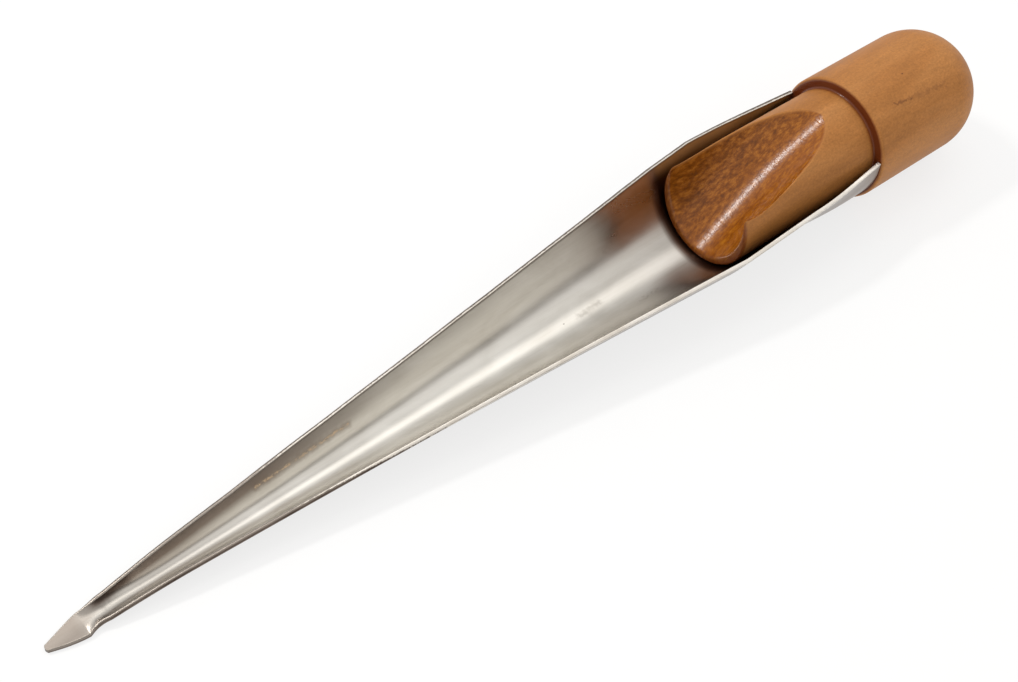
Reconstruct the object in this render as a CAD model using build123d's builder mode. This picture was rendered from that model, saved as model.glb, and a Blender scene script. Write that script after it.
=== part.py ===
from build123d import *
import math
import os

os.makedirs("parts", exist_ok=True)

# A marlinspike of the trough kind: a turned wooden handle, and a half-round blade of bent
# sheet steel that wraps the handle's tenon and runs out to a flattened tip.
# X runs along the tool towards the handle, Y is across it and Z is up. The bench is at
# z = 0: the knob of the handle and the underside of the tip both rest on it, trough upwards.
# The origin is under the middle of the length. All sizes are in millimetres.

# Handle
KNOB_RADIUS = 15.5
KNOB_STRAIGHT = 29.0  # straight length, from the shoulder to where the cap starts
CAP_LENGTH = 14.5  # rounded cap on the knob's end
KNOB_EDGE = 0.8  # rounding where the knob meets the shoulder face
TENON_RADIUS = 12.9
TENON_LENGTH = 43.5
TENON_EDGE = 0.6  # rounding of the tenon's front end
SHOULDER_FILLET = 0.4  # inside corner between the tenon and the shoulder face

# Scoop: a gouge cut that slopes down through the tenon to its front end
SCOOP_RADIUS = 11.6
SCOOP_START = 9.0  # from the shoulder to where the cut leaves the tenon's top
SCOOP_LIP = 1.7  # wood left under the cut at the front end

# Blade: one bent sheet, with its stations measured from the shoulder towards the tip. Its walls
# stand beside the tenon as two ears, and open from there to the mouth
SHEET = 1.0
BLADE_LENGTH = 212.2
SEAT_GAP = 0.1  # bedding between the sheet and the tenon's underside
EAR_GAP = 0.5  # extra radius of the ears over the tenon
EAR_WRAP = 14.0  # degrees by which a closed ear would pass the tenon's widest line
EAR_LIP = 0.6  # straight edge at the end of a closed ear
EARS_PART = -18.0  # where closed ears would start to open: they are a third open at the shoulder
MOUTH_START = 29.0  # stations between which the trough is at its widest
MOUTH_END = 46.0
MOUTH_FLARE = 4.2  # how far the rims stand out past the tenon's side
MOUTH_RISE = 3.7  # rims above the handle's axis where the mouth starts
MOUTH_FALL = 2.4  # how much lower the rims are where the mouth ends
MOUTH_LEAN = 25.0  # degrees that the walls lean outwards at the mouth
NECK_RADIUS = 3.75
NECK_WALL = 0.25  # straight part of each wall where the trough ends
NECK_LEAN = 34.0
NECK_LIFT = 0.15  # underside of the trough's end above the bench, on which the leaf lies
NECK_SINK = 1.05  # how far the rims sink below their straight taper before the neck
NECK_SINK_LENGTH = 16.0
TAPER_WAIST = 0.45  # how far the sides bow inwards between mouth and neck
TAPER_CROWN = 0.45  # how far the rims bow upwards between mouth and neck
TROUGH_SECTIONS = 40

# Tip: the end of the trough hammered flat into a leaf
LEAF_LENGTH = 12.7
LEAF_HALF_WIDTH = 2.95
LEAF_MIDDLE = 2.15  # half-width halfway between the widest place and the blunt end
LEAF_NOSE = 0.85  # half-width of the blunt end
LEAF_NOSE_DEPTH = 0.5
LEAF_ROOT = 1.5  # half-width where the leaf grows out of the trough
NECK_SWEEP = 4.5  # length over which the walls come down to the flat

# Two round-head pins that hold the blade's back to the tenon
PIN_RADIUS = 1.25
PIN_LENGTH = 9.0  # under the head
PIN_POINT = 0.6  # length of the tapered end
PIN_HEAD_RADIUS = 2.6
PIN_HEAD_HEIGHT = 1.1
PIN_HOLE_SPARE = 0.5  # how much deeper than the pin its hole is
PIN_FROM_SHOULDER = 12.0  # the first pin's place
PIN_FROM_FRONT = 14.5  # the second pin's place, from the tenon's front end

# Places that follow from the sizes
OVERALL = BLADE_LENGTH + KNOB_STRAIGHT + CAP_LENGTH
SHOULDER_X = BLADE_LENGTH - OVERALL / 2
AXIS_Z = KNOB_RADIUS
SEAT_Z = AXIS_Z - TENON_RADIUS - SEAT_GAP - SHEET  # underside of the blade at the tenon
NECK = BLADE_LENGTH - LEAF_LENGTH
PIN_STATIONS = (PIN_FROM_SHOULDER, TENON_LENGTH - PIN_FROM_FRONT)


# Handle, turned in one piece with its tenon and then scooped
handle_side = Plane(origin=(SHOULDER_X, 0, AXIS_Z), x_dir=(1, 0, 0), z_dir=(0, -1, 0))
scoop_run = TENON_LENGTH - SCOOP_START
scoop_drop = 2 * TENON_RADIUS - SCOOP_LIP
scoop_along = Vector(scoop_run, 0, scoop_drop).normalized()
scoop_up = Vector(-scoop_drop, 0, scoop_run).normalized()
scoop_top = Vector(SHOULDER_X - SCOOP_START, 0, AXIS_Z + TENON_RADIUS)
scoop_plane = Plane(scoop_top + scoop_up * SCOOP_RADIUS, x_dir=(0, 1, 0), z_dir=scoop_along)

with BuildPart() as handle:
    with BuildSketch(handle_side):
        with BuildLine():
            EllipticalCenterArc((KNOB_STRAIGHT, 0), CAP_LENGTH, KNOB_RADIUS, 0, arc_size=90)
            Polyline(
                (KNOB_STRAIGHT, KNOB_RADIUS),
                (0, KNOB_RADIUS),
                (0, TENON_RADIUS),
                (-TENON_LENGTH, TENON_RADIUS),
                (-TENON_LENGTH, 0),
                (KNOB_STRAIGHT + CAP_LENGTH, 0),
            )
        make_face()
    revolve(axis=Axis((SHOULDER_X, 0, AXIS_Z), (1, 0, 0)))
    shoulder_face = handle.faces().filter_by(Axis.X).sort_by(SortBy.AREA)[0]
    inner_ring, outer_ring = shoulder_face.edges().sort_by(SortBy.LENGTH)
    fillet(outer_ring, KNOB_EDGE)
    fillet(inner_ring, SHOULDER_FILLET)
    fillet(handle.faces().sort_by(Axis.X)[0].edges(), TENON_EDGE)
    with BuildSketch(scoop_plane):
        Circle(SCOOP_RADIUS)
    extrude(amount=2 * TENON_LENGTH, both=True, mode=Mode.SUBTRACT)
    with BuildSketch(Plane.XY.offset(SEAT_Z)):
        with Locations([(SHOULDER_X - station, 0) for station in PIN_STATIONS]):
            Circle(PIN_RADIUS)
    extrude(amount=PIN_LENGTH + PIN_HOLE_SPARE, mode=Mode.SUBTRACT)
handle.part.label = "handle"
export_step(handle.part, "parts/handle.step")


def blend(start, end, share):
    """The value a share of the way from start to end."""
    return start + (end - start) * share


def share_between(start, end, station):
    """How far a station is between two others, from 0 to 1."""
    return min(max((station - start) / (end - start), 0), 1)


def walls_from_rim(half_width, rim, underside, lean):
    """The bottom radius and wall length that put the rims at a half width and height."""
    height = rim - underside
    across = math.sin(math.radians(lean))
    upright = math.cos(math.radians(lean))
    wall = (height * upright - half_width * (1 - across)) / (1 - across)
    radius = (half_width - wall * across) / upright
    return radius, wall


def rim_from_walls(radius, wall, underside, lean):
    """The half width and height of the rims that a bottom radius and wall length give."""
    across = math.sin(math.radians(lean))
    upright = math.cos(math.radians(lean))
    half_width = radius * upright + wall * across
    rim = underside + radius * (1 - across) + wall * upright
    return half_width, rim


# Half width and height of the rims: at an ear that is closed round the tenon, at the mouth,
# where they fall a little from its start to its end, and at the neck, to which they sink
ear_half_width, ear_rim = rim_from_walls(TENON_RADIUS + EAR_GAP + SHEET, EAR_LIP, SEAT_Z, -EAR_WRAP)
mouth_half_width = TENON_RADIUS + MOUTH_FLARE
mouth_rim = AXIS_Z + MOUTH_RISE
neck_half_width, neck_rim = rim_from_walls(NECK_RADIUS, NECK_WALL, NECK_LIFT, NECK_LEAN)


def trough_at(station):
    """The underside, bottom radius, wall length and lean of the trough at a station."""
    opening = share_between(EARS_PART, MOUTH_START, station)
    opened = opening**2 * (3 - 2 * opening)
    fallen = share_between(MOUTH_START, MOUTH_END, station)
    taper = share_between(MOUTH_END, NECK, station)
    sunk = share_between(NECK - NECK_SINK_LENGTH, NECK, station) ** 1.5
    bow = 4 * taper * (1 - taper)
    widest = blend(ear_half_width, mouth_half_width, opened)
    highest = blend(ear_rim, mouth_rim, opened) - MOUTH_FALL * fallen
    half_width = blend(widest, neck_half_width, taper) - TAPER_WAIST * bow
    rim = blend(highest, neck_rim + NECK_SINK, taper) + TAPER_CROWN * bow - NECK_SINK * sunk
    underside = blend(SEAT_Z, NECK_LIFT, taper)
    lean = blend(blend(-EAR_WRAP, MOUTH_LEAN, opened), NECK_LEAN, taper**2)
    return underside, *walls_from_rim(half_width, rim, underside, lean), lean


# Blade: the lofted trough, its walls brought down at the neck, and the flat leaf beyond
neck_x = SHOULDER_X - NECK
flat_x = neck_x - NECK_SWEEP
tip_x = SHOULDER_X - BLADE_LENGTH
nose_x = tip_x + LEAF_NOSE_DEPTH
neck_top = neck_rim + SHEET * math.sin(math.radians(NECK_LEAN))
above = 2 * neck_top

# The blade starts where the fillet in the shoulder's corner ends
with BuildPart() as blade:
    for step in range(TROUGH_SECTIONS + 1):
        station = blend(SHOULDER_FILLET, NECK + NECK_SWEEP, step / TROUGH_SECTIONS)
        underside, radius, wall, lean = trough_at(station)
        angle = math.radians(lean)
        outward = Vector(math.cos(angle), -math.sin(angle))
        upward = Vector(math.sin(angle), math.cos(angle))
        centre = Vector(0, underside + radius)
        bend_out = centre + outward * radius
        bend_in = centre + outward * (radius - SHEET)
        rim_out = bend_out + upward * wall
        rim_in = bend_in + upward * wall
        section_plane = Plane((SHOULDER_X - station, 0, 0), x_dir=(0, 1, 0), z_dir=(1, 0, 0))
        with BuildSketch(section_plane):
            with BuildLine():
                Polyline(bend_in, rim_in, rim_out, bend_out)
                Polyline(
                    (-bend_in.X, bend_in.Y),
                    (-rim_in.X, rim_in.Y),
                    (-rim_out.X, rim_out.Y),
                    (-bend_out.X, bend_out.Y),
                )
                ThreePointArc(bend_out, (0, underside), (-bend_out.X, bend_out.Y))
                ThreePointArc(bend_in, (0, underside + SHEET), (-bend_in.X, bend_in.Y))
            make_face()
    loft()
    with BuildSketch(Plane.XZ):
        with BuildLine():
            TangentArc((flat_x, SHEET), (neck_x, neck_top), tangent=(1, 0))
            Polyline(
                (neck_x, neck_top), (neck_x, above), (tip_x, above), (tip_x, SHEET), (flat_x, SHEET)
            )
        make_face()
    extrude(amount=2 * neck_half_width, both=True, mode=Mode.SUBTRACT)
    with BuildSketch():
        with BuildLine():
            TangentArc((flat_x, LEAF_HALF_WIDTH), (neck_x, LEAF_ROOT), tangent=(1, 0))
            ThreePointArc(
                (flat_x, LEAF_HALF_WIDTH), ((flat_x + nose_x) / 2, LEAF_MIDDLE), (nose_x, LEAF_NOSE)
            )
            mirror(about=Plane.XZ)
            ThreePointArc((nose_x, LEAF_NOSE), (tip_x, 0), (nose_x, -LEAF_NOSE))
            Line((neck_x, LEAF_ROOT), (neck_x, -LEAF_ROOT))
        make_face()
    extrude(amount=SHEET)
    with BuildSketch():
        with Locations([(SHOULDER_X - station, 0) for station in PIN_STATIONS]):
            Circle(PIN_RADIUS)
    extrude(amount=SEAT_Z + 2 * SHEET, mode=Mode.SUBTRACT)
blade.part.label = "blade"
export_step(blade.part, "parts/blade.step")

# Pins: a domed head under the blade's back and a straight shank up into the tenon
for number, station in enumerate(PIN_STATIONS, start=1):
    pin_side = Plane((SHOULDER_X - station, 0, SEAT_Z), x_dir=(1, 0, 0), z_dir=(0, -1, 0))
    with BuildPart() as pin:
        with BuildSketch(pin_side):
            with BuildLine():
                EllipticalCenterArc((0, 0), PIN_HEAD_RADIUS, PIN_HEAD_HEIGHT, 270, arc_size=90)
                Polyline(
                    (PIN_HEAD_RADIUS, 0),
                    (PIN_RADIUS, 0),
                    (PIN_RADIUS, PIN_LENGTH - PIN_POINT),
                    (PIN_RADIUS / 2, PIN_LENGTH),
                    (0, PIN_LENGTH),
                    (0, -PIN_HEAD_HEIGHT),
                )
            make_face()
        revolve(axis=Axis(pin_side.origin, (0, 0, 1)))
    pin.part.label = f"blade_pin_{number}"
    export_step(pin.part, f"parts/blade_pin_{number}.step")
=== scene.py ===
# %% [markdown]
# A marlinspike, dressed for its portrait
#
# The tool is a rigger's hollow spike: a turned wooden handle, and a trough of bent stainless sheet
# that wraps the handle's tenon and runs out to a flat tip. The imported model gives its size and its
# place. This lesson keeps both, and adds what the eye looks for: the soft bands of light in the
# satin steel, the pale filed rims, the hammered tip and the lacquered wood.
#
# Everything is in metres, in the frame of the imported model: X runs towards the knob, Y across the
# tool and Z up. The bench is at z = 0. "Near" is the side at -Y, where the viewer stands, and
# "far" is the side at +Y.

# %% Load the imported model
import math

import bpy
import numpy as np
from mathutils import Matrix, Vector, noise


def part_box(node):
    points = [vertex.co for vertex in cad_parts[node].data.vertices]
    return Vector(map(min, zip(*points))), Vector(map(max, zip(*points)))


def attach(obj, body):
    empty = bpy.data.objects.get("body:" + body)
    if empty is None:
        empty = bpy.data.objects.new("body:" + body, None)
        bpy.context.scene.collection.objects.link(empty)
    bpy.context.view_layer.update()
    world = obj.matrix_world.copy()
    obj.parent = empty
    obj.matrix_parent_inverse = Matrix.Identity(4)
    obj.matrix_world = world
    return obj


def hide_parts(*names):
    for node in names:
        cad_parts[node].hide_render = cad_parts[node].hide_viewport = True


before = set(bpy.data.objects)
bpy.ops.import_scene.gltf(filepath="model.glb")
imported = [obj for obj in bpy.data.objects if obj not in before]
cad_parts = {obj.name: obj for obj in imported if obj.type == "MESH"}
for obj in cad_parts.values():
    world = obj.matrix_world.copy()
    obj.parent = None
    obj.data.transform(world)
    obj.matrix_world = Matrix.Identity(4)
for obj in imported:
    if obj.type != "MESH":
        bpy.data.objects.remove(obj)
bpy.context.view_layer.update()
MM = 0.001
scene = bpy.context.scene
print("nodes:", sorted(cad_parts))

# %% [markdown]
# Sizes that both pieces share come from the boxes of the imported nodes, so that the new meshes lie
# where the solids are. The rest of the sizes are written once, in millimetres times MM. A place
# along the tool is called a station: its distance from the shoulder, towards the tip.

# %% Read the shared sizes from the frame
SHOULDER_FILLET = 0.4 * MM
blade_low, blade_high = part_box("blade")
handle_low, handle_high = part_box("handle")
shoulder_x = blade_high.x + SHOULDER_FILLET
knob_radius = handle_high.z / 2
axis_z = knob_radius
blade_length = shoulder_x - blade_low.x
tenon_length = shoulder_x - handle_low.x
print(f"blade {blade_length / MM:.1f} mm long, tenon {tenon_length / MM:.1f} mm")
print(f"knob radius {knob_radius / MM:.1f} mm")


def place(station, across, height):
    """A place on the tool from its station, its Y and its height, all in millimetres."""
    return Vector((shoulder_x - station * MM, across * MM, height * MM))


# %% [markdown]
# The camera comes first, because every later choice is judged through it. A photograph can be
# matched by trial, or by fitting a pinhole camera to points whose real places are known. The
# second way was used: the knob's circle, the ears, the neck and the tip fix the place, the heading
# and a roll of about ten degrees, as the tool was photographed slightly askew.

# %% Camera
CAMERA_PLACE = Vector((-173.796, -141.735, 276.459)) * MM
CAMERA_HEADING = math.radians(48.011)  # from +Y towards +X
CAMERA_DOWN = math.radians(51.423)
CAMERA_ROLL = math.radians(10.27)
CAMERA_LENS = 56.58  # millimetres, on a sensor 36 mm wide

camera_data = bpy.data.cameras.new("camera")
camera_data.lens = CAMERA_LENS
camera_data.sensor_width = 36
camera_data.sensor_fit = "HORIZONTAL"
camera_data.clip_start = 0.01
camera = bpy.data.objects.new("camera", camera_data)
scene.collection.objects.link(camera)
heading = Matrix.Rotation(-CAMERA_HEADING, 4, "Z")
tilt = Matrix.Rotation(math.pi / 2 - CAMERA_DOWN, 4, "X")
roll = Matrix.Rotation(CAMERA_ROLL, 4, "Z")
camera.matrix_world = Matrix.Translation(CAMERA_PLACE) @ heading @ tilt @ roll
scene.camera = camera
scene.view_settings.view_transform = "Standard"
print("camera at", [round(x, 3) for x in CAMERA_PLACE])

# %% [markdown]
# Both pieces are long shapes whose section changes slowly, so both are made the same way: a list
# of closed rings with equally many points, joined ring to ring by four-sided faces. It is how a
# loft is built by hand, and it gives smooth, even faces that satin metal needs: on an uneven mesh
# every reflection would wobble. A boolean or a remesh would leave slivers here.


# %% Helpers: numbers, rings and skins
def blend(start, end, share):
    """The value a share of the way from start to end."""
    return start + (end - start) * share


def share_between(start, end, value):
    """How far a value is between two others, from 0 to 1."""
    return min(max((value - start) / (end - start), 0.0), 1.0)


def smooth(share):
    """A share that starts and ends gently."""
    return share * share * (3 - 2 * share)


def resample(points, count, trim_start, trim_end):
    """Evenly spaced points along a line, after a length is trimmed off each end."""
    steps = np.hypot(*np.diff(points, axis=0).T)
    reached = np.concatenate([[0], np.cumsum(steps)])
    wanted = np.linspace(trim_start, reached[-1] - trim_end, count)
    return np.column_stack([np.interp(wanted, reached, points[:, k]) for k in (0, 1)])


def skin(name, rings, materials, slots):
    """A closed mesh through rings of points. slots gives each ring side's material number."""
    ring_count, side_count, _ = rings.shape
    faces = []
    for ring in range(ring_count - 1):
        for side in range(side_count):
            after = (side + 1) % side_count
            here = ring * side_count
            there = here + side_count
            faces.append((here + side, here + after, there + after, there + side))
    faces.append(tuple(reversed(range(side_count))))
    faces.append(tuple(range((ring_count - 1) * side_count, ring_count * side_count)))
    mesh = bpy.data.meshes.new(name)
    mesh.from_pydata(rings.reshape(-1, 3).tolist(), [], faces)
    for material in materials:
        mesh.materials.append(material)
    mesh.polygons.foreach_set("material_index", slots * (ring_count - 1) + [slots[0], slots[0]])
    mesh.validate()
    mesh.update()
    piece = bpy.data.objects.new(name, mesh)
    scene.collection.objects.link(piece)
    print(f"{name}: {len(mesh.vertices)} points, {len(mesh.polygons)} faces")
    return piece


def shade(piece, sharp_angle):
    """Smooth shading that keeps edges sharper than an angle in degrees."""
    piece.data.shade_smooth()
    piece.data.set_sharp_from_angle(angle=math.radians(sharp_angle))


def keep_value(piece, name, values):
    """Stores one number per point of a piece, for its material to read."""
    attribute = piece.data.attributes.new(name, "FLOAT", "POINT")
    attribute.data.foreach_set("value", np.asarray(values, np.float32).ravel())


# %% [markdown]
# Materials are small networks. A helper that adds a node, fills its sockets and links what is
# given keeps each recipe short enough to read like a sentence. Real wear also has places of its
# own, such as one scratch or one crack, so the helper can draw a mark: it measures how far each
# point of the surface lies from a line between two places of the tool.


# %% Helpers: material nodes
class Recipe:
    """A new material and the few steps that fill its node tree."""

    def __init__(self, name):
        self.material = bpy.data.materials.new(name)
        self.material.use_nodes = True
        self.tree = self.material.node_tree
        self.tree.nodes.clear()
        self.coords = self.add("ShaderNodeTexCoord").outputs["Object"]

    def add(self, kind, inputs=None, **settings):
        """Adds a node. inputs maps a socket's name or number to a value or to an output."""
        node = self.tree.nodes.new(kind)
        for key, value in settings.items():
            setattr(node, key, value)
        for key, value in (inputs or {}).items():
            if isinstance(value, bpy.types.NodeSocket):
                self.tree.links.new(value, node.inputs[key])
            else:
                node.inputs[key].default_value = value
        return node

    def noise(self, scale, detail=3.0, roughness=0.5, distortion=0.0, output="Fac"):
        """Noise from 0 to 1 with its own number of features per metre along X, Y and Z."""
        stretched = self.add("ShaderNodeMapping", {"Vector": self.coords, "Scale": scale})
        inputs = {
            "Vector": stretched.outputs["Vector"],
            "Scale": 1.0,
            "Detail": detail,
            "Roughness": roughness,
            "Distortion": distortion,
        }
        return self.add("ShaderNodeTexNoise", inputs).outputs[output]

    def ramp(self, value, stops):
        """A colour ramp with (position, grey level or colour) stops."""
        node = self.add("ShaderNodeValToRGB", {"Fac": value})
        elements = node.color_ramp.elements
        while len(elements) < len(stops):
            elements.new(0.5)
        for element, (position, colour) in zip(elements, stops):
            element.position = position
            grey = isinstance(colour, (int, float))
            element.color = (colour, colour, colour, 1) if grey else (*colour, 1)
        return node.outputs["Color"]

    def mix(self, share, first, second, how="MIX"):
        """Two colours mixed by a share."""
        node = self.add("ShaderNodeMix", data_type="RGBA", blend_type=how)
        for key, value in ((0, share), (6, first), (7, second)):
            if isinstance(value, bpy.types.NodeSocket):
                self.tree.links.new(value, node.inputs[key])
            elif isinstance(value, tuple):
                node.inputs[key].default_value = (*value, 1)
            else:
                node.inputs[key].default_value = value
        return node.outputs[2]

    def math(self, how, first, second=0.0, clamp=False):
        """One step of arithmetic on numbers."""
        inputs = {0: first, 1: second}
        return self.add("ShaderNodeMath", inputs, operation=how, use_clamp=clamp).outputs[0]

    def vector(self, how, first, second=(0.0, 0.0, 0.0), output="Vector"):
        """One step of arithmetic on vectors."""
        inputs = {0: first, 1: second}
        return self.add("ShaderNodeVectorMath", inputs, operation=how).outputs[output]

    def fade(self, value, start, end):
        """1 up to a start value, falling smoothly to 0 at an end value."""
        inputs = {"Value": value, "From Min": start, "From Max": end, "To Min": 1.0, "To Max": 0.0}
        node = self.add("ShaderNodeMapRange", inputs, interpolation_type="SMOOTHSTEP")
        return node.outputs["Result"]

    def mark(self, start, end, reach, wander=0.0):
        """1 on the line between two places, falling smoothly to 0 at a distance from it."""
        run = end - start
        shaken = self.noise((900, 900, 900), detail=2.0, output="Color")
        shift = self.vector("SUBTRACT", shaken, (0.5, 0.5, 0.5))
        shift = self.vector("MULTIPLY", shift, (wander, wander, wander))
        reached = self.vector("SUBTRACT", self.vector("ADD", self.coords, shift), tuple(start))
        dot = self.vector("DOT_PRODUCT", reached, tuple(run), output="Value")
        share = self.math("DIVIDE", dot, run.length_squared, clamp=True)
        along = self.add("ShaderNodeVectorMath", {0: tuple(run), "Scale": share}, operation="SCALE")
        away = self.vector("SUBTRACT", reached, along.outputs["Vector"])
        return self.fade(self.vector("LENGTH", away, output="Value"), 0.0, reach)

    def bump(self, height, distance, under=None, strength=1.0):
        """A bump of a real height in metres, over an earlier one if that is given."""
        inputs = {"Height": height, "Distance": distance, "Strength": strength}
        if under is not None:
            inputs["Normal"] = under
        return self.add("ShaderNodeBump", inputs).outputs["Normal"]

    def attribute(self, name):
        """A number stored on the piece's points."""
        return self.add("ShaderNodeAttribute", attribute_name=name).outputs["Fac"]

    def finish(self, **inputs):
        """Ends the recipe with the surface shader. Underscores stand for spaces."""
        named = {key.replace("_", " "): value for key, value in inputs.items()}
        shader = self.add("ShaderNodeBsdfPrincipled", named)
        output = self.add("ShaderNodeOutputMaterial", {"Surface": shader.outputs[0]})
        output.is_active_output = True
        return self.material


# %% [markdown]
# Satin stainless is a metal with a medium roughness, and its beauty is in small unevenness: fine
# streaks along the blade from the belt that polished it, faint cloudy blotches where hands and
# rope have been, and the odd mark. The streaks are noise that is stretched a hundredfold along X.
# An anisotropic shader could make them too, but needs tangents that a baked copy loses.
#
# In places shade is painted into the colour: dark in the gap round the tenon, and brown under the
# far rim, on the outer faces and in the two hollows of the hammered neck; the neck and the leaf
# are also made darker. Two numbers on the points say where: one for the gap and "shade" for the
# walls. The marks are a rough rusty scuff high on the far wall, a few soft smudges near the handle
# and one tiny pit.

# %% Satin steel
SCUFF = (place(162.5, 4.2, 4.75), place(139.0, 5.6, 5.45))
# Painted shade in the two hollows of the hammered neck: near black-brown patches.
NECK_HOLLOW_SHADES = (
    (place(193.5, 2.9, 3.2), place(199.5, 1.9, 1.9), 2.6 * MM, 0.85),
    (place(200.3, -2.0, 1.6), place(201.5, -1.9, 1.4), 1.3 * MM, 0.55),
)
SMUDGES = (
    (place(63.6, 8.6, 7.6), place(61.0, 9.0, 8.0), 1.9 * MM),
    (place(68.5, 7.4, 6.4), place(65.5, 7.8, 6.9), 1.4 * MM),
    (place(72.0, 1.2, 2.2), place(78.0, 1.0, 2.2), 1.3 * MM),
    (place(58.5, -3.6, 3.4), place(64.0, -4.0, 3.4), 0.9 * MM),
)
PIT = (place(82.35, 1.22, 2.2), place(82.5, 1.22, 2.2))


def satin_steel():
    recipe = Recipe("satin_steel")
    streaks = recipe.noise((28, 1700, 1700), detail=4.0, roughness=0.6)
    clouds = recipe.noise((55, 120, 120), detail=4.0, roughness=0.55, distortion=0.6)
    coloured = recipe.ramp(clouds, [(0.30, (0.58, 0.555, 0.51)), (0.70, (0.71, 0.69, 0.65))])
    coloured = recipe.mix(0.24, coloured, recipe.ramp(streaks, [(0.3, 0.38), (0.7, 0.62)]), "OVERLAY")

    broken = recipe.noise((260, 500, 500), detail=3.0, roughness=0.6)
    for start, end, reach in SMUDGES:
        smudge = recipe.math("MULTIPLY", recipe.mark(start, end, reach, 2.2 * MM), broken)
        smudge = recipe.math("MULTIPLY", smudge, 0.75)
        coloured = recipe.mix(smudge, coloured, (0.23, 0.21, 0.185))
    # Painted shade: brown under the far rim, by the near rim at the neck and on the outer faces, with the darker
    # neck and leaf.
    shade_share = recipe.math("MULTIPLY", recipe.attribute("shade"), 0.80)
    coloured = recipe.mix(shade_share, coloured, (0.185, 0.135, 0.105))
    # Painted shade in the neck's hollows.
    for start, end, reach, strength in NECK_HOLLOW_SHADES:
        hollow_shade = recipe.math("MULTIPLY", recipe.mark(start, end, reach, 1.0 * MM), strength)
        coloured = recipe.mix(hollow_shade, coloured, (0.075, 0.052, 0.042))

    dull_band = recipe.math("MULTIPLY", recipe.mark(*SCUFF, 1.5 * MM, 1.2 * MM), 0.55)
    coloured = recipe.mix(dull_band, coloured, (0.22, 0.165, 0.125))
    grains = recipe.noise((900, 1500, 1500), detail=4.0, roughness=0.7)
    rusty = recipe.ramp(grains, [(0.42, 0.0), (0.52, 1.0)])
    scuffed = recipe.math("MULTIPLY", recipe.mark(*SCUFF, 0.55 * MM, 0.8 * MM), rusty)
    coloured = recipe.mix(scuffed, coloured, (0.82, 0.62, 0.42))
    coloured = recipe.mix(recipe.mark(*PIT, 0.24 * MM), coloured, (0.12, 0.10, 0.08))
    # Painted shade: the gap round the tenon and the weaker shade along the trough, near black-brown.
    coloured = recipe.mix(recipe.attribute("gap_shade"), coloured, (0.085, 0.048, 0.033))

    roughness = recipe.ramp(clouds, [(0.30, 0.27), (0.70, 0.33)])
    roughness = recipe.math("ADD", roughness, recipe.math("MULTIPLY", scuffed, 0.25))
    fine = recipe.bump(streaks, 0.003 * MM)
    rubbed = recipe.bump(scuffed, 0.05 * MM, under=fine)
    return recipe.finish(Base_Color=coloured, Metallic=1.0, Roughness=roughness, Normal=rubbed)


steel = satin_steel()
print("made", steel.name)

# %% [markdown]
# The rims are the sheet's cut edges. Near the mouth they are freshly filed: pale, with the file's
# fine ticks and a dark line along the inner side. Towards the neck they are worn round and brown,
# the brown being wear and painted shade, and the change creeps in from the outside. The far rim
# carries painted shade all along. Two numbers on the points drive it: "across" runs from the outer
# corner to the inner one, and the other from the filed part to the worn and shaded one.


# %% Filed rims
def filed_rim():
    recipe = Recipe("filed_rim")
    across = recipe.attribute("across")
    wear_and_shade = recipe.attribute("wear_and_shade")
    ticks = recipe.noise((1900, 600, 600), detail=3.0, roughness=0.7)
    patches = recipe.noise((120, 300, 300), detail=2.0)
    filed = recipe.ramp(patches, [(0.35, (0.72, 0.67, 0.60)), (0.65, (0.85, 0.81, 0.755))])
    filed = recipe.mix(0.22, filed, recipe.ramp(ticks, [(0.35, 0.35), (0.60, 0.62)]), "OVERLAY")
    # A dark line along the inner corner of the filed rim.
    inner_dark_line = recipe.math("MULTIPLY", recipe.ramp(across, [(0.90, 0.0), (0.97, 1.0)]), 0.8)
    filed = recipe.mix(inner_dark_line, filed, (0.20, 0.17, 0.14))

    # The worn brown is wear and painted shade; it creeps in from the outer corner.
    worn = recipe.ramp(patches, [(0.35, (0.12, 0.09, 0.072)), (0.65, (0.23, 0.185, 0.155))])
    inner_side = recipe.ramp(across, [(0.35, 0.0), (0.95, 0.85)])
    worn = recipe.mix(inner_side, worn, (0.42, 0.38, 0.34))
    ragged = recipe.math("MULTIPLY", recipe.math("SUBTRACT", ticks, 0.5), 0.9)
    creep = recipe.math("SUBTRACT", recipe.math("MULTIPLY", wear_and_shade, 1.2), 0.05)
    creep = recipe.math("SUBTRACT", creep, recipe.math("MULTIPLY", across, 0.9))
    creep = recipe.math("ADD", creep, ragged)
    coloured = recipe.mix(recipe.math("MULTIPLY", creep, 5.0, clamp=True), filed, worn)
    return recipe.finish(
        Base_Color=coloured, Metallic=1.0, Roughness=0.45, Normal=recipe.bump(ticks, 0.02 * MM)
    )


rim_steel = filed_rim()
print("made", rim_steel.name)

# %% [markdown]
# The blade is one sheet, a millimetre thick. Its section is an arc for the bottom and a straight
# wall on each side, which leans inwards over the tenon and outwards everywhere else. The rims are
# described by their half width and height, because those can be checked by eye against the
# photograph, and the arc and walls are worked out from them.
#
# The two ears beside the tenon were not bent alike: the far one opens earlier and more gently
# than the near one. So each side (1 far, -1 near) has its own stations for the opening, on both
# sides of those that the solid model uses.

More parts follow.
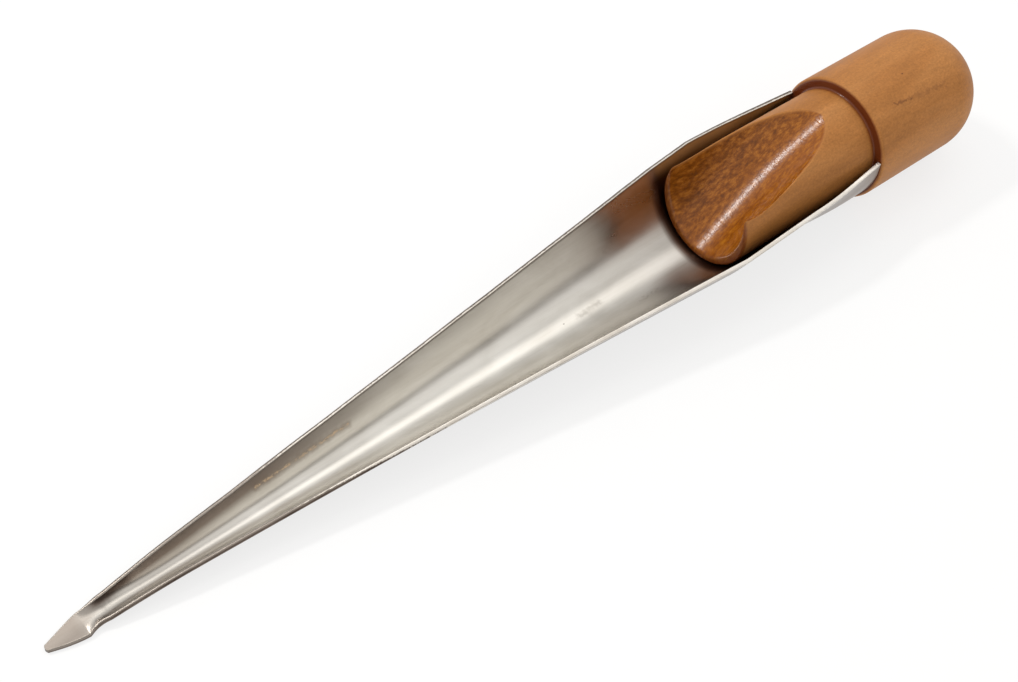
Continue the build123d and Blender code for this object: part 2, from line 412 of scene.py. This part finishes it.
# %% The trough's section
SHEET = 1.0 * MM
TENON_RADIUS = 12.9 * MM
SEAT_GAP = 0.1 * MM
EAR_GAP = 0.5 * MM
EAR_WRAP = 14.0
EAR_LIP = 0.6 * MM
EARS_PART = {1: -24.0 * MM, -1: -12.0 * MM}
MOUTH_START = {1: 34.0 * MM, -1: 24.0 * MM}
MOUTH_END = 46.0 * MM
MOUTH_FLARE = 4.2 * MM
MOUTH_RISE = 3.7 * MM
MOUTH_FALL = 2.4 * MM
MOUTH_LEAN = 25.0
LEAF_LENGTH = 12.7 * MM
NECK_RADIUS = 3.75 * MM
NECK_WALL = 0.25 * MM
NECK_LEAN = 34.0
NECK_LIFT = 0.15 * MM
NECK_SINK = 1.05 * MM
NECK_SINK_LENGTH = 16.0 * MM
TAPER_WAIST = 0.45 * MM
TAPER_CROWN = 0.45 * MM

seat_z = axis_z - TENON_RADIUS - SEAT_GAP - SHEET
neck = blade_length - LEAF_LENGTH


def walls_from_rim(half_width, rim, underside, lean):
    """The bottom radius and wall length that put the rims at a half width and height."""
    height = rim - underside
    across = math.sin(math.radians(lean))
    upright = math.cos(math.radians(lean))
    wall = (height * upright - half_width * (1 - across)) / (1 - across)
    return (half_width - wall * across) / upright, wall


def rim_from_walls(radius, wall, underside, lean):
    """The half width and height of the rims that a bottom radius and wall length give."""
    across = math.sin(math.radians(lean))
    upright = math.cos(math.radians(lean))
    return radius * upright + wall * across, underside + radius * (1 - across) + wall * upright


ear_radius = TENON_RADIUS + EAR_GAP + SHEET
ear_half_width, ear_rim = rim_from_walls(ear_radius, EAR_LIP, seat_z, -EAR_WRAP)
neck_half_width, neck_rim = rim_from_walls(NECK_RADIUS, NECK_WALL, NECK_LIFT, NECK_LEAN)


def trough_at(station, side):
    """The underside, bottom radius, wall length and lean of one side of the trough."""
    opened = smooth(share_between(EARS_PART[side], MOUTH_START[side], station))
    fallen = share_between(MOUTH_START[side], MOUTH_END, station)
    taper = share_between(MOUTH_END, neck, station)
    sunk = share_between(neck - NECK_SINK_LENGTH, neck, station) ** 1.5
    bow = 4 * taper * (1 - taper)
    widest = blend(ear_half_width, TENON_RADIUS + MOUTH_FLARE, opened)
    highest = blend(ear_rim, axis_z + MOUTH_RISE, opened) - MOUTH_FALL * fallen
    half_width = blend(widest, neck_half_width, taper) - TAPER_WAIST * bow
    rim = blend(highest, neck_rim + NECK_SINK, taper) + TAPER_CROWN * bow - NECK_SINK * sunk
    underside = blend(seat_z, NECK_LIFT, taper)
    lean = blend(blend(-EAR_WRAP, MOUTH_LEAN, opened), NECK_LEAN, taper**2)
    return underside, *walls_from_rim(half_width, rim, underside, lean), lean


print(f"neck at {neck / MM:.1f} mm, half width {neck_half_width / MM:.2f} mm")

# %% [markdown]
# The tip is the end of the trough hammered flat. In the solid model it is a plate set into the
# trough. Here the same ring of points is kept all the way: its walls are brought down until the
# section is a shallow dish, so that the steel flows through the neck as it does under a hammer.
# The hammer also pinched the neck a little and knocked the whole leaf a hair to the near side.

# %% The tip's section
NECK_SWEEP = 4.5 * MM
NECK_PINCH = {1: 0.02 * MM, -1: 0.30 * MM}
LEAF_HALF_WIDTH = 2.95 * MM
LEAF_NOSE = 0.85 * MM
LEAF_NOSE_DEPTH = 0.5 * MM
LEAF_DISH = 0.25 * MM
LEAF_BEND = 0.5 * MM
SMALLEST = 0.05 * MM
HALF_LINE_POINTS = 120


def leaf_half_width(station):
    """Half the width of the flat leaf: an even curve to a blunt, rounded nose."""
    nose = blade_length - LEAF_NOSE_DEPTH
    along = share_between(neck + NECK_SWEEP, nose, station)
    rounding = share_between(nose, blade_length, station)
    width = LEAF_HALF_WIDTH - (LEAF_HALF_WIDTH - LEAF_NOSE) * along**1.3
    return max(width * math.sqrt(1 - rounding**2), SMALLEST)


def tip_half(station, side):
    """Half of the tip's outer face: an arc whose end sinks from the neck's to the leaf's."""
    sweep = share_between(neck, neck + NECK_SWEEP, station)
    flat = share_between(neck + NECK_SWEEP, blade_length, station)
    pinch = NECK_PINCH[side] * math.sin(math.pi * sweep)
    half_width = blend(neck_half_width, leaf_half_width(station), sweep) - pinch
    rim = blend(neck_rim - NECK_LIFT, LEAF_DISH, sweep**1.15) * (1 - flat)
    rim = min(max(rim, 0.1 * SMALLEST), 0.6 * half_width)
    half_turn = 2 * math.atan2(rim, half_width)
    turns = np.linspace(0, half_turn, HALF_LINE_POINTS)
    arc = np.column_stack([np.sin(turns), 1 - np.cos(turns)]) * half_width / math.sin(half_turn)
    return arc + (0, NECK_LIFT * (1 - sweep))


def trough_half(station, side):
    """Half of the trough's outer face: the bottom's arc and the straight wall."""
    underside, radius, wall, lean = trough_at(station, side)
    angle = math.radians(lean)
    turns = np.linspace(0, math.pi / 2 - angle, HALF_LINE_POINTS)
    arc = np.column_stack([np.sin(turns), 1 - np.cos(turns)]) * radius + (0, underside)
    up = np.array((math.sin(angle), math.cos(angle))) * wall
    return np.vstack([arc, arc[-1] + up])


def outer_line(station):
    """Points along the blade's outer face, from the rim at +Y to the rim at -Y."""
    half = tip_half if station > neck else trough_half
    far = half(station, 1)
    near = half(station, -1) * (-1, 1)
    return np.vstack([far[::-1], near[1:]])


# %% [markdown]
# Each ring goes down one face, round the cut edge, back along the other face and round the other
# cut edge. The cut edges are real sheet: their corners are eased, by a fifth of a millimetre at
# the mouth and more where they are worn, and their line wanders a little because they were filed
# by hand. The faces get a ripple of a few hundredths of a millimetre, which no ruler would find,
# but which breaks the long reflections the way real bent sheet does.

# %% Blade
ALONG_FACE = 80
EASE_MOUTH = 0.18 * MM
EASE_NECK = 0.42 * MM
EASE_LEAF = 0.24 * MM
EASE_POINTS = 4
RIM_WANDER = 0.10 * MM
RIPPLE = 0.03 * MM
BLADE_SEED = Vector((3.7, 1.2, 8.1))


def edge_ease(station):
    """How round the cut edges are."""
    worn = share_between(MOUTH_END, neck, station)
    swept = share_between(neck, neck + NECK_SWEEP, station)
    return blend(blend(EASE_MOUTH, EASE_NECK, worn), EASE_LEAF, swept)


def rim_turn(end, along, inward, ease):
    """The eased cut edge, from just below an outer rim point to just below the inner one."""
    turns = np.linspace(0, math.pi / 2, EASE_POINTS)
    outer_corner = end + inward * ease
    inner_corner = end + inward * (SHEET - ease)
    first = [outer_corner + ease * (along * math.sin(t) - inward * math.cos(t)) for t in turns]
    second = [inner_corner + ease * (along * math.cos(t) + inward * math.sin(t)) for t in turns]
    return first + second


def trim_at(station, side, ease):
    """How much of a face is left off at a rim: its rounding and the file's wandering."""
    steady = share_between(neck - 2 * MM, neck + NECK_SWEEP, station)
    slow = noise.noise(BLADE_SEED + Vector((station / MM / 9, side * 5, 0)))
    fine = noise.noise(BLADE_SEED + Vector((station / MM / 1.3, side * 9, 4)))
    return ease + RIM_WANDER * (1 - steady) * (1 + slow + 0.35 * fine)


def blade_ring(station):
    """One closed ring of the blade, as (y, z) points."""
    ease = edge_ease(station)
    line = outer_line(station)
    room = 0.4 * np.hypot(*(line[0] - line[-1]))
    trims = [min(trim_at(station, side, ease), room) for side in (1, -1)]
    outer = resample(line, ALONG_FACE, *trims)
    tangents = np.gradient(outer, axis=0)
    tangents /= np.hypot(*tangents.T)[:, None]
    inward = np.column_stack([tangents[:, 1], -tangents[:, 0]])
    inner = outer + inward * SHEET
    ease_scale = min(1.0, room / (2 * ease))
    near_edge = rim_turn(outer[-1], tangents[-1] * ease_scale, inward[-1], ease)
    far_edge = rim_turn(outer[0], -tangents[0] * ease_scale, inward[0], ease)
    return np.vstack([outer[1:-1], near_edge, inner[-2:0:-1], far_edge[::-1]])


def blade_stations():
    """Stations along the blade: even in the trough, closer at the neck and at the tip."""
    trough = np.linspace(SHOULDER_FILLET, neck - 2 * MM, 300)
    tip = np.linspace(neck - 2 * MM, blade_length - LEAF_NOSE_DEPTH, 90)[1:]
    turns = np.linspace(0, math.pi / 2, 12)[1:]
    nose = blade_length - LEAF_NOSE_DEPTH * (1 - np.sin(turns))
    return np.concatenate([trough, tip, nose])


def settled(point, station):
    """A point of the blade, moved by the sheet's unevenness and the bend, never below the bench."""
    spot = BLADE_SEED + Vector((station / MM / 16, point[0] / MM / 7, point[1] / MM / 7))
    drift = noise.noise_vector(spot) * RIPPLE
    bend = LEAF_BEND * smooth(share_between(neck, blade_length - 2 * MM, station))
    y = point[0] + drift.y - bend
    return (shoulder_x - station + drift.x, y, max(point[1] + drift.z, 0.0))


stations = blade_stations()
blade_rings = np.array([[settled(p, s) for p in blade_ring(s)] for s in stations])
face_points = ALONG_FACE - 2
edge_points = 2 * EASE_POINTS
side_slots = [0] * face_points + [1] * edge_points + [0] * face_points + [1] * edge_points
blade = skin("blade_skin", blade_rings, [steel, rim_steel], side_slots)
shade(blade, 50)

# %% [markdown]
# The numbers that the two recipes read are worked out ring by ring, because the rings know where
# the rims and faces are. Painted shade fills the gap round the tenon, and a weaker painted shade
# thins out along the trough, lighter high on the walls. More painted shade lies under the far rim,
# from the middle of the blade to the neck, along the near rim close to the neck and over the outer
# faces. Towards the neck and on the leaf the steel is made darker too.

# %% Numbers on the blade's points
# Painted shade: the gap round the tenon, then a weaker shade fading out along the trough.
GAP_END = tenon_length + 1.2 * MM
GAP_FADE = 3.2 * MM
FADING_SHADE_LENGTH = 60 * MM
FADING_SHADE_STRENGTH = 0.38
FILED_END = 118 * MM
WORN_START = 168 * MM
# Painted shade on the far rim: at least this share of the worn brown all along.
FAR_RIM_SHADE = 0.65
NECK_DULL = 0.30
# Painted shade over all the outer faces, which would otherwise mirror the white floor.
OUTSIDE_SHADE = 1.0
LEAF_DULL = 0.85


def gap_shade_at(station):
    """Painted shade: dark in the gap round the tenon, and a weaker shade that thins out along the trough."""
    gap = 1 - smooth(share_between(GAP_END, GAP_END + GAP_FADE, station))
    fading_shade = FADING_SHADE_STRENGTH * (1 - share_between(GAP_END, GAP_END + FADING_SHADE_LENGTH, station)) ** 2
    return max(gap, fading_shade)


def shade_at(station, side, height_share):
    """The painted shade under the rims. side is 1 far and -1 near, height_share 0 low and 1 high."""
    if side > 0:
        reach = smooth(share_between(112 * MM, 165 * MM, station))
        return reach * smooth(share_between(0.42, 0.80, height_share))
    reach = smooth(share_between(140 * MM, 180 * MM, station))
    return 0.6 * reach * smooth(share_between(0.65, 1.0, height_share))


across = []
rim_wear_and_shades = []
gap_shades = []
shades = []
for station, ring in zip(stations, blade_rings):
    ease = edge_ease(station) / SHEET
    turns = np.linspace(0, math.pi / 2, EASE_POINTS)
    edge = [*(ease * (1 - np.cos(turns))), *(1 - ease * (1 - np.sin(turns)))]
    across.append([0] * face_points + edge + [1] * face_points + edge[::-1])
    wear_and_shade = share_between(FILED_END, WORN_START, station)
    near_points = 2 * face_points + edge_points
    rim_wear_and_shades.append([wear_and_shade] * near_points + [max(wear_and_shade, FAR_RIM_SHADE)] * edge_points)
    low, high = ring[:, 2].min(), ring[:, 2].max()
    shade_ring = [shade_at(station, y, share_between(low, high, z)) for _, y, z in ring]
    dulled = NECK_DULL * smooth(share_between(155 * MM, 192 * MM, station))
    inner_face = [0] * (face_points + edge_points) + [1] * face_points + [0] * edge_points
    leafless = 1 - smooth(share_between(neck - 1 * MM, neck + NECK_SWEEP, station))
    on_leaf = share_between(neck + 1 * MM, neck + NECK_SWEEP + 2 * MM, station)
    dulled = blend(dulled, LEAF_DULL, smooth(on_leaf))
    inner_shade = np.clip(np.array(shade_ring) * leafless + dulled, 0, 1)
    shades.append(np.where(inner_face, inner_shade, OUTSIDE_SHADE))
    # The painted shade is lighter high on the inner walls, near the rims.
    near_rim_top = [smooth(share_between(0.76, 0.97, share_between(low, high, z))) for z in ring[:, 2]]
    gap_shades.append(gap_shade_at(station) * np.array(inner_face) * (1 - 0.85 * np.array(near_rim_top)))

keep_value(blade, "across", across)
keep_value(blade, "wear_and_shade", rim_wear_and_shades)
keep_value(blade, "shade", shades)
keep_value(blade, "gap_shade", gap_shades)
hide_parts("blade")
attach(blade, "root")
print("blade rings:", len(stations))

# %% [markdown]
# The handle is light brown wood, turned and then lacquered. On the knob and the tenon the coat is
# thin and satin, and a short crack and a speck show in the knob. In the scoop and in the corner
# under the shoulder the coat has pooled: there it is orange to dark red-brown and glossy, over the
# ticks that the gouge left. One recipe holds both. "coat" on the points says how thick the coat
# is, and "pool" where it is darkest. In the scoop the far half gets a darker copy of the colour as
# painted shade, and the near half the lit orange one.

# %% Lacquered wood
CRACK = (place(-7.6, -7.7, 28.9), place(-13.6, -8.5, 28.4))
CRACK_TAIL = (place(-13.6, -8.5, 28.4), place(-25.0, -9.4, 27.8))
SPECK = (place(-15.5, -2.9, 30.7), place(-15.8, -2.9, 30.7))
SCOOP_NEAR_Y = -5 * MM
SCOOP_FAR_Y = 7 * MM


def lacquered_wood():
    recipe = Recipe("lacquered_wood")
    coat = recipe.attribute("coat")
    fibres = recipe.noise((150, 800, 800), detail=4.0, roughness=0.65)
    figure = recipe.noise((16, 90, 90), detail=3.0, distortion=0.8)
    fuzz = recipe.noise((1500, 2200, 2200), detail=3.0, roughness=0.7)
    wood = recipe.ramp(
        figure, [(0.30, (0.325, 0.128, 0.030)), (0.50, (0.385, 0.156, 0.040)), (0.72, (0.435, 0.190, 0.056))]
    )
    wood = recipe.mix(0.35, wood, recipe.ramp(fibres, [(0.30, 0.38), (0.70, 0.62)]), "OVERLAY")
    wood = recipe.mix(0.50, wood, recipe.ramp(fuzz, [(0.32, 0.34), (0.68, 0.64)]), "OVERLAY")
    cracked = recipe.math("MULTIPLY", recipe.mark(*CRACK, 0.55 * MM, 1.6 * MM), 0.65)
    tail = recipe.math("MULTIPLY", recipe.mark(*CRACK_TAIL, 0.9 * MM, 2.6 * MM), 0.30)
    for share in (cracked, tail, recipe.mark(*SPECK, 0.30 * MM, 0.5 * MM)):
        wood = recipe.mix(share, wood, (0.13, 0.045, 0.018))

    mottle = recipe.noise((330, 1300, 800), detail=5.0, roughness=0.75)
    drifts = recipe.noise((70, 260, 260), detail=2.0)
    lit_scoop = recipe.ramp(
        mottle, [(0.36, (0.185, 0.050, 0.003)), (0.50, (0.275, 0.078, 0.004)), (0.62, (0.38, 0.130, 0.008))]
    )
    shaded_scoop = recipe.ramp(
        mottle, [(0.36, (0.13, 0.037, 0.003)), (0.50, (0.225, 0.066, 0.005)), (0.62, (0.37, 0.130, 0.016))]
    )
    # Painted shade: the scoop's far half takes the darker, shaded copy of the mottle, the near half the lit one.
    y = recipe.add("ShaderNodeSeparateXYZ", {0: recipe.coords}).outputs["Y"]
    wavy = recipe.math("ADD", y, recipe.math("MULTIPLY", drifts, 6 * MM))
    lit_share = recipe.fade(wavy, SCOOP_NEAR_Y + 3 * MM, SCOOP_FAR_Y + 3 * MM)
    pooled = recipe.mix(lit_share, shaded_scoop, lit_scoop)
    coloured = recipe.mix(coat, wood, pooled)
    coloured = recipe.mix(recipe.attribute("pool"), coloured, (0.125, 0.026, 0.006))

    satin = recipe.ramp(fuzz, [(0.3, 0.46), (0.7, 0.58)])
    roughness = recipe.mix(coat, satin, (0.26, 0.26, 0.26))
    fuzzed = recipe.bump(fuzz, 0.012 * MM, strength=0.6)
    ticks = recipe.noise((1300, 220, 1300), detail=3.0, roughness=0.6)
    gouged = recipe.bump(recipe.math("MULTIPLY", ticks, coat), 0.10 * MM, under=fuzzed)
    return recipe.finish(
        Base_Color=coloured,
        Roughness=roughness,
        Normal=gouged,
        Specular_IOR_Level=0.18,
        Coat_Weight=recipe.math("MULTIPLY", coat, 0.36),
        Coat_Roughness=0.20,
        Coat_Normal=gouged,
    )


wood_finish = lacquered_wood()
print("made", wood_finish.name)

# %% [markdown]
# The handle's rings run from the knob's end to the tenon's front. Each ring has a lower part that
# follows the turned surface, and an upper part that follows the scoop: a straight gouge cut that
# dives into the tenon. Where there is no scoop yet, the upper part follows the turned surface too,
# and both shrink to meet at the point where the cut begins. The real gouge was not held quite
# upright: the cut rolls about the handle's axis by six degrees on its way down, so the rings do.

# %% The handle's sections
KNOB_STRAIGHT = 29.0 * MM
KNOB_EDGE = 0.8 * MM
TENON_EDGE = 0.6 * MM
SCOOP_RADIUS = 11.6 * MM
SCOOP_START = 9.0 * MM
SCOOP_LIP = 1.7 * MM
SCOOP_EASE = 0.35 * MM
SCOOP_ROLL = math.radians(6)
ROLL_START = 9 * MM
ROLL_END = 31 * MM
LIP_EASE = 0.4 * MM
LOWER_POINTS = 120
UPPER_POINTS = 86
cap_length = handle_high.x - shoulder_x - KNOB_STRAIGHT
scoop_slope = math.atan((2 * TENON_RADIUS - SCOOP_LIP) / (tenon_length - SCOOP_START))


def turned_profile():
    """(station, radius) along the turned surface, from the knob's end to the tenon's front."""
    profile = []
    for turn in np.linspace(0, math.pi / 2, 60)[1:]:
        at = -KNOB_STRAIGHT - cap_length * math.cos(turn)
        profile.append((at, knob_radius * math.sin(turn)))
    for at in np.linspace(-KNOB_STRAIGHT, -KNOB_EDGE, 40)[1:]:
        profile.append((at, knob_radius))
    for turn in np.linspace(0, math.pi / 2, 10)[1:]:
        at = KNOB_EDGE * (math.sin(turn) - 1)
        profile.append((at, knob_radius - KNOB_EDGE * (1 - math.cos(turn))))
    face_end = TENON_RADIUS + SHOULDER_FILLET
    for radius in np.linspace(knob_radius - KNOB_EDGE, face_end, 6)[1:]:
        profile.append((0, radius))
    for turn in np.linspace(0, math.pi / 2, 8)[1:]:
        at = SHOULDER_FILLET * (1 - math.cos(turn))
        profile.append((at, face_end - SHOULDER_FILLET * math.sin(turn)))
    for at in np.linspace(SHOULDER_FILLET, SCOOP_START, 30)[1:-1]:
        profile.append((at, TENON_RADIUS))
    for share in np.linspace(0, 1, 110):
        at = blend(SCOOP_START + SMALLEST, tenon_length - TENON_EDGE, share**1.3)
        profile.append((at, TENON_RADIUS))
    for turn in np.linspace(0, math.pi / 2, 10)[1:]:
        at = tenon_length - TENON_EDGE * (1 - math.sin(turn))
        profile.append((at, TENON_RADIUS - TENON_EDGE * (1 - math.cos(turn))))
    return profile


def scoop_at(station, radius):
    """The scoop's section: its own radius and centre, and the height where it meets the wood."""
    ease = max(0.0, station - (tenon_length - LIP_EASE))
    own_radius = SCOOP_RADIUS + LIP_EASE - math.sqrt(LIP_EASE**2 - ease**2)
    floor_height = TENON_RADIUS - (station - SCOOP_START) * math.tan(scoop_slope)
    squeeze = math.cos(scoop_slope)
    centre = floor_height + SCOOP_RADIUS / squeeze
    a = squeeze**2 - 1
    b = -2 * squeeze**2 * centre
    c = squeeze**2 * centre**2 + radius**2 - own_radius**2
    meeting = (-b - math.sqrt(b * b - 4 * a * c)) / (2 * a)
    return own_radius, centre, squeeze, meeting


def round_ring(station, radius):
    """A ring of the handle before the scoop begins, with no pooled coat in its upper part."""
    half = math.radians(50) * (1 - share_between(0, SCOOP_START, station)) + 1e-3
    lower = np.linspace(half, 2 * math.pi - half, LOWER_POINTS)
    upper = np.linspace(-half, half, UPPER_POINTS + 2)[1:-1]
    turns = np.concatenate([lower, upper])
    return np.column_stack([np.sin(turns), np.cos(turns)]) * radius


COAT_FADE = 0.9 * MM
COAT_CORNER = 0.15


def scooped_ring(station, radius):
    """A ring of the tenon with its scoop, and how thick the coat is at each of its points."""
    own_radius, centre, squeeze, meeting = scoop_at(station, radius)
    half = math.acos(max(-1.0, min(1.0, meeting / radius)))
    chord = radius * math.sin(half)
    reach = math.atan2(chord, (centre - meeting) * squeeze)
    ease = min(SCOOP_EASE, 0.3 * chord)
    lower = np.linspace(half + ease / radius, 2 * math.pi - half - ease / radius, LOWER_POINTS)
    outside = np.column_stack([np.sin(lower), np.cos(lower)]) * radius
    spread = np.sin(np.linspace(-math.pi / 2, math.pi / 2, UPPER_POINTS - 6) * 0.92)
    upper = spread / spread[-1] * (reach - ease / own_radius)
    inside = np.column_stack([np.sin(upper), -np.cos(upper) / squeeze]) * own_radius + (0, centre)
    corners = []
    for start, end, side in ((outside[-1], inside[0], -1), (inside[-1], outside[0], 1)):
        corner = np.array((side * chord, radius * math.cos(half)))
        shares = (0.25, 0.5, 0.75)
        corners.append([(1 - t) ** 2 * start + 2 * t * (1 - t) * corner + t * t * end for t in shares])
    depth = [smooth(share_between(0, COAT_FADE, (reach - abs(u)) * own_radius)) for u in upper]
    coat = [0] * LOWER_POINTS + [0] * 3 + [blend(COAT_CORNER, 1, share) for share in depth] + [0] * 3
    return np.vstack([outside, corners[0], inside, corners[1]]), coat


print(f"scoop slopes down by {math.degrees(scoop_slope):.1f} degrees")

# %% [markdown]
# With the sections ready, the handle is a matter of stacking them. The coat pools in three places,
# all found while stacking: over the scoop, on the shoulder's face and its corner, and round the
# tenon's front edge.

# %% Handle
CORNER_POOL = 0.7 * MM
FRONT_POOL = 0.5 * MM
handle_rings = []
coats = []
pools = []
for station, radius in turned_profile():
    front = math.exp(-(((tenon_length - station) / FRONT_POOL) ** 2))
    if station <= SCOOP_START:
        ring = round_ring(station, radius)
        face = share_between(knob_radius - 0.3 * KNOB_EDGE, knob_radius - KNOB_EDGE, radius)
        face = face if station > -KNOB_EDGE else 0.0
        pool = face if station <= 0 else math.exp(-((station / CORNER_POOL) ** 2))
        coats.append([pool] * len(ring))
        pools.append([pool] * len(ring))
    else:
        ring, coat = scooped_ring(station, radius)
        coats.append(np.maximum(coat, front))
        pools.append([0.7 * front] * LOWER_POINTS + [0.35 * front] * UPPER_POINTS)
    roll_angle = SCOOP_ROLL * smooth(share_between(ROLL_START, ROLL_END, station))
    turn = np.array([[math.cos(roll_angle), math.sin(roll_angle)], [-math.sin(roll_angle), math.cos(roll_angle)]])
    rolled = ring @ turn.T
    handle_rings.append([(shoulder_x - station, y, z + axis_z) for y, z in rolled])

handle_rings = np.array(handle_rings)
handle = skin("handle_skin", handle_rings, [wood_finish], [0] * handle_rings.shape[1])
shade(handle, 60)
keep_value(handle, "coat", coats)
keep_value(handle, "pool", pools)
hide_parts("handle")
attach(handle, "root")
print("handle rings:", len(handle_rings))

# %% [markdown]
# The two pins under the blade are small domes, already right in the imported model. They only need
# a steel of their own, so their material slots are filled and their meshes stay untouched.


# %% Pins
def pin_steel():
    recipe = Recipe("pin_steel")
    polish = recipe.noise((1400, 1400, 1400), detail=3.0, roughness=0.6)
    coloured = recipe.ramp(polish, [(0.35, (0.48, 0.46, 0.43)), (0.65, (0.63, 0.61, 0.58))])
    roughness = recipe.ramp(polish, [(0.35, 0.36), (0.65, 0.26)])
    worn = recipe.bump(polish, 0.01 * MM)
    return recipe.finish(Base_Color=coloured, Metallic=1.0, Roughness=roughness, Normal=worn)


pin_finish = pin_steel()
for name in ("blade_pin_1", "blade_pin_2"):
    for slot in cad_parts[name].material_slots:
        slot.material = pin_finish
    print(name, "dressed in", pin_finish.name)

# %% [markdown]
# A white sweep and soft lamps are what such a tool is photographed on. The floor is pale paper,
# and to the camera and to mirrors it also glows a little, so that it reads as white without more
# light on the tool. It still takes the tool's soft shadow.


# %% Floor
FLOOR_GLOW = 0.74  # share of the floor's colour that is plain white to the camera and to mirrors


def white_floor():
    recipe = Recipe("white_floor")
    rays = recipe.add("ShaderNodeLightPath").outputs
    seen = recipe.math("ADD", rays["Is Camera Ray"], rays["Is Glossy Ray"], clamp=True)
    seen = recipe.math("ADD", seen, rays["Is Transmission Ray"], clamp=True)
    grain = recipe.ramp(recipe.noise((40, 40, 40)), [(0.0, 0.87), (1.0, 0.90)])
    paper = recipe.add("ShaderNodeBsdfDiffuse", {"Color": grain}).outputs[0]
    glow = recipe.add("ShaderNodeEmission", {"Color": (1, 1, 1, 1), "Strength": 1.0}).outputs[0]
    share = recipe.math("MULTIPLY", seen, FLOOR_GLOW)
    both = recipe.add("ShaderNodeMixShader", {0: share, 1: paper, 2: glow})
    recipe.add("ShaderNodeOutputMaterial", {"Surface": both.outputs[0]})
    return recipe.material


def flat_sheet(name, size, material):
    """A sheet in the XY plane, facing up, which isn't part of the tool."""
    half_x, half_y = size[0] / 2, size[1] / 2
    corners = [(-half_x, -half_y, 0), (half_x, -half_y, 0), (half_x, half_y, 0), (-half_x, half_y, 0)]
    mesh = bpy.data.meshes.new(name)
    mesh.from_pydata(corners, [], [(0, 1, 2, 3)])
    mesh.materials.append(material)
    sheet = bpy.data.objects.new(name, mesh)
    scene.collection.objects.link(sheet)
    return sheet


floor = flat_sheet("floor", (6.0, 6.0), white_floor())
print("floor laid")

# %% [markdown]
# Metal shows its room, so the room matters more than the lamps. The bright band along the trough's
# floor is a long narrow soft box over the tool. The paler zone beside it is a wide weak one on the
# near side, and a small hard lamp behind the handle gives the glint in the scoop. The world is a
# pale room all round, and a grey card low on the near side stands for the room's darker half.

# %% World and lamps
WORLD_LEVEL = 0.76
world = bpy.data.worlds.new("pale_room")
world.use_nodes = True
backdrop = world.node_tree.nodes["Background"].inputs
backdrop["Color"].default_value = (1.0, 0.985, 0.96, 1)
backdrop["Strength"].default_value = WORLD_LEVEL
scene.world = world


def facing(direction, distance, along):
    """The place of something at a distance in a direction, facing the tool, its X along a line."""
    back = Vector(direction).normalized()
    side = Vector(along)
    side = (side - back * side.dot(back)).normalized()
    axes = Matrix((side, back.cross(side), back)).transposed().to_4x4()
    return Matrix.Translation(back * distance) @ axes


def soft_box(name, direction, distance, size, radiance, colour=(1.0, 0.985, 0.955)):
    """An area lamp of a given brightness, facing the tool, its first size along the tool."""
    data = bpy.data.lights.new(name, "AREA")
    data.shape = "RECTANGLE"
    data.size, data.size_y = size
    data.energy = radiance * math.pi * size[0] * size[1]
    data.color = colour
    lamp = bpy.data.objects.new(name, data)
    scene.collection.objects.link(lamp)
    lamp.matrix_world = facing(direction, distance, (1, 0, 0))
    print(f"{name}: {data.energy:.1f} W")


soft_box("band_box", (0.42, 0.23, 0.89), 1.0, (1.2, 0.42), 1.06)
soft_box("side_box", (0.42, -0.45, 0.79), 1.1, (1.2, 0.62), 0.33)
soft_box("glint_box", (-0.328, 0.533, 0.781), 0.9, (0.16, 0.075), 85.0)


def grey_card():
    recipe = Recipe("grey_card")
    tone = recipe.ramp(recipe.noise((3, 3, 3)), [(0.3, (0.26, 0.24, 0.22)), (0.7, (0.34, 0.32, 0.30))])
    plain = recipe.add("ShaderNodeEmission", {"Color": tone, "Strength": 1.0}).outputs[0]
    recipe.add("ShaderNodeOutputMaterial", {"Surface": plain})
    return recipe.material


card = flat_sheet("card", (2.4, 0.74), grey_card())
card.matrix_world = facing((0.30, -0.90, 0.30), 0.9, (1, 0, 0))
card.visible_camera = False
card.visible_diffuse = False
card.visible_shadow = False
print("stage set")
